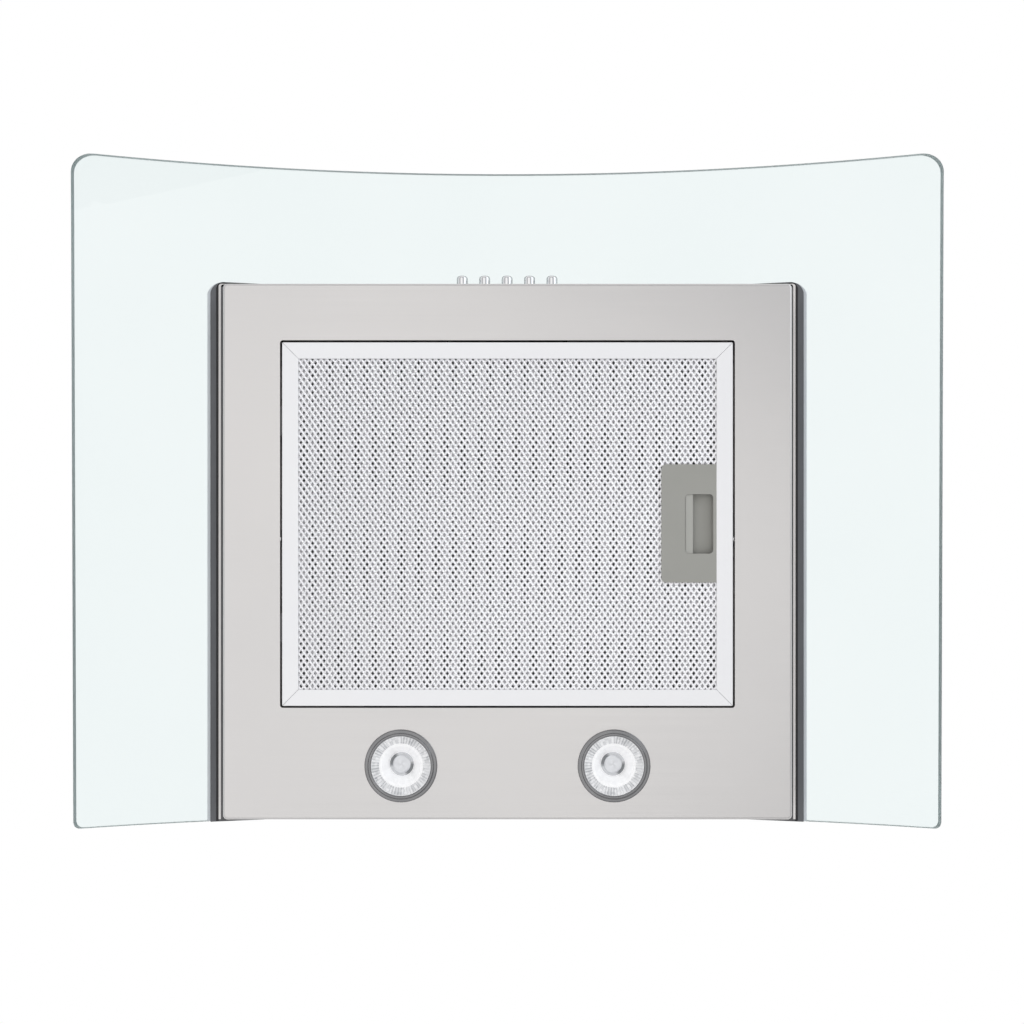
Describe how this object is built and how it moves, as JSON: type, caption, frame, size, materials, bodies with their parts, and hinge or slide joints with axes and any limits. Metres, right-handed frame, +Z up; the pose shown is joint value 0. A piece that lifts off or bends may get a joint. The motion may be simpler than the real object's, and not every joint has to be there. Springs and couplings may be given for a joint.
{
  "type": "curved glass range hood",
  "caption": "Wall hood with an arched clear glass canopy, satin steel body, mesh grease filter, round lamps, push buttons and a telescopic chimney.",
  "frame": {"origin": "centre of the four wall-screw holes, on the wall plane", "axes": "+X to the right of a person facing the wall, +Y into the wall, +Z up"},
  "size_m": [0.6, 0.466, 0.5099],
  "materials": {
    "clear_glass": "clear float glass with a faint green-blue tint",
    "black_rubber": "matt black rubber",
    "white_nylon": "natural nylon",
    "bright_chrome": "polished chrome",
    "zinc_steel": "zinc-coated sheet steel",
    "satin_steel": "satin stainless steel",
    "filter_aluminium": "bright natural aluminium",
    "mesh_aluminium": "expanded aluminium mesh",
    "filter_wool": "fine wound aluminium strand",
    "grey_plastic": "mid grey moulded plastic",
    "black_plastic": "black moulded plastic",
    "white_plastic": "white moulded plastic",
    "motor_cast": "cast aluminium",
    "lamp_ring": "dark grey satin ring",
    "lamp_lens": "frosted moulded lens",
    "lamp_cap": "satin white cap"
  },
  "bodies": {
    "hood": {"glass_canopy": "clear_glass", "glass_gasket": "black_rubber", "glass_pads": "black_rubber", "glass_bushes": "white_nylon", "glass_screws": "bright_chrome", "glass_nuts": "zinc_steel", "body_deck": "satin_steel", "body_shell": "satin_steel", "switch_block": "black_plastic", "switch_bracket": "zinc_steel", "housing_front": "zinc_steel", "housing_sides": "zinc_steel", "housing_top": "zinc_steel", "back_plate": "zinc_steel", "housing_screws": "zinc_steel", "fan_scroll": "zinc_steel", "inlet_ring": "black_plastic", "fan_motor": "motor_cast", "motor_bracket": "zinc_steel", "motor_grommets": "black_rubber", "run_capacitor": "white_plastic", "capacitor_clip": "zinc_steel", "cable_gland": "black_plastic", "terminal_box": "white_plastic", "collar_plate": "zinc_steel", "duct_collar": "black_plastic", "collar_screws": "zinc_steel", "damper_pins": "zinc_steel", "lower_chimney": "satin_steel", "lamp_bezel_left": "lamp_ring", "lamp_lens_left": "lamp_lens", "lamp_cap_left": "lamp_cap", "lamp_housing_left": "motor_cast", "lamp_clips_left": "zinc_steel", "lamp_bezel_right": "lamp_ring", "lamp_lens_right": "lamp_lens", "lamp_cap_right": "lamp_cap", "lamp_housing_right": "motor_cast", "lamp_clips_right": "zinc_steel"},
    "filter": {"filter_frame": "filter_aluminium", "filter_tongues": "filter_aluminium", "filter_mesh_lower": "mesh_aluminium", "filter_mesh_upper": "mesh_aluminium", "filter_wool": "filter_wool", "latch_plate": "grey_plastic", "latch_spring": "zinc_steel"},
    "latch": {"latch_slide": "grey_plastic"},
    "fan_rotor": {"impeller": "black_plastic", "motor_shaft": "zinc_steel"},
    "damper_front": {"damper_flap_front": "black_plastic"},
    "damper_rear": {"damper_flap_rear": "black_plastic"},
    "chimney_upper": {"upper_chimney": "satin_steel", "chimney_bracket": "zinc_steel", "chimney_screws": "zinc_steel"},
    "button_1_body": {"button_1": "bright_chrome"},
    "button_2_body": {"button_2": "bright_chrome"},
    "button_3_body": {"button_3": "bright_chrome"},
    "button_4_body": {"button_4": "bright_chrome"},
    "button_5_body": {"button_5": "bright_chrome"}
  },
  "joints": [
    {"name": "filter_hinge", "type": "hinge", "parent": "hood", "child": "filter", "pos_m": [-0.1537, -0.20995, -0.1888], "axis": [0, 1, 0], "range_deg": [0, 60]},
    {"name": "latch_slide_joint", "type": "slide", "parent": "filter", "child": "latch", "axis": [-1, 0, 0], "range_m": [0, 0.006], "stiffness_N_per_m": 150, "deforming": ["latch_spring"]},
    {"name": "fan_spin", "type": "hinge", "parent": "hood", "child": "fan_rotor", "pos_m": [0, -0.09, -0.025], "axis": [1, 0, 0], "continuous": true},
    {"name": "damper_front_hinge", "type": "hinge", "parent": "hood", "child": "damper_front", "pos_m": [0, -0.142, 0.098], "axis": [-1, 0, 0], "range_deg": [0, 78]},
    {"name": "damper_rear_hinge", "type": "hinge", "parent": "hood", "child": "damper_rear", "pos_m": [0, -0.134, 0.098], "axis": [1, 0, 0], "range_deg": [0, 78]},
    {"name": "chimney_slide", "type": "slide", "parent": "hood", "child": "chimney_upper", "axis": [0, 0, 1], "range_m": [0, 0.36]},
    {"name": "button_1_press", "type": "slide", "parent": "hood", "child": "button_1_body", "axis": [0, 1, 0], "range_m": [0, 0.004], "stiffness_N_per_m": 250},
    {"name": "button_2_press", "type": "slide", "parent": "hood", "child": "button_2_body", "axis": [0, 1, 0], "range_m": [0, 0.004], "stiffness_N_per_m": 250},
    {"name": "button_3_press", "type": "slide", "parent": "hood", "child": "button_3_body", "axis": [0, 1, 0], "range_m": [0, 0.004], "stiffness_N_per_m": 250},
    {"name": "button_4_press", "type": "slide", "parent": "hood", "child": "button_4_body", "axis": [0, 1, 0], "range_m": [0, 0.004], "stiffness_N_per_m": 250},
    {"name": "button_5_press", "type": "slide", "parent": "hood", "child": "button_5_body", "axis": [0, 1, 0], "range_m": [0, 0.004], "stiffness_N_per_m": 250}
  ]
}
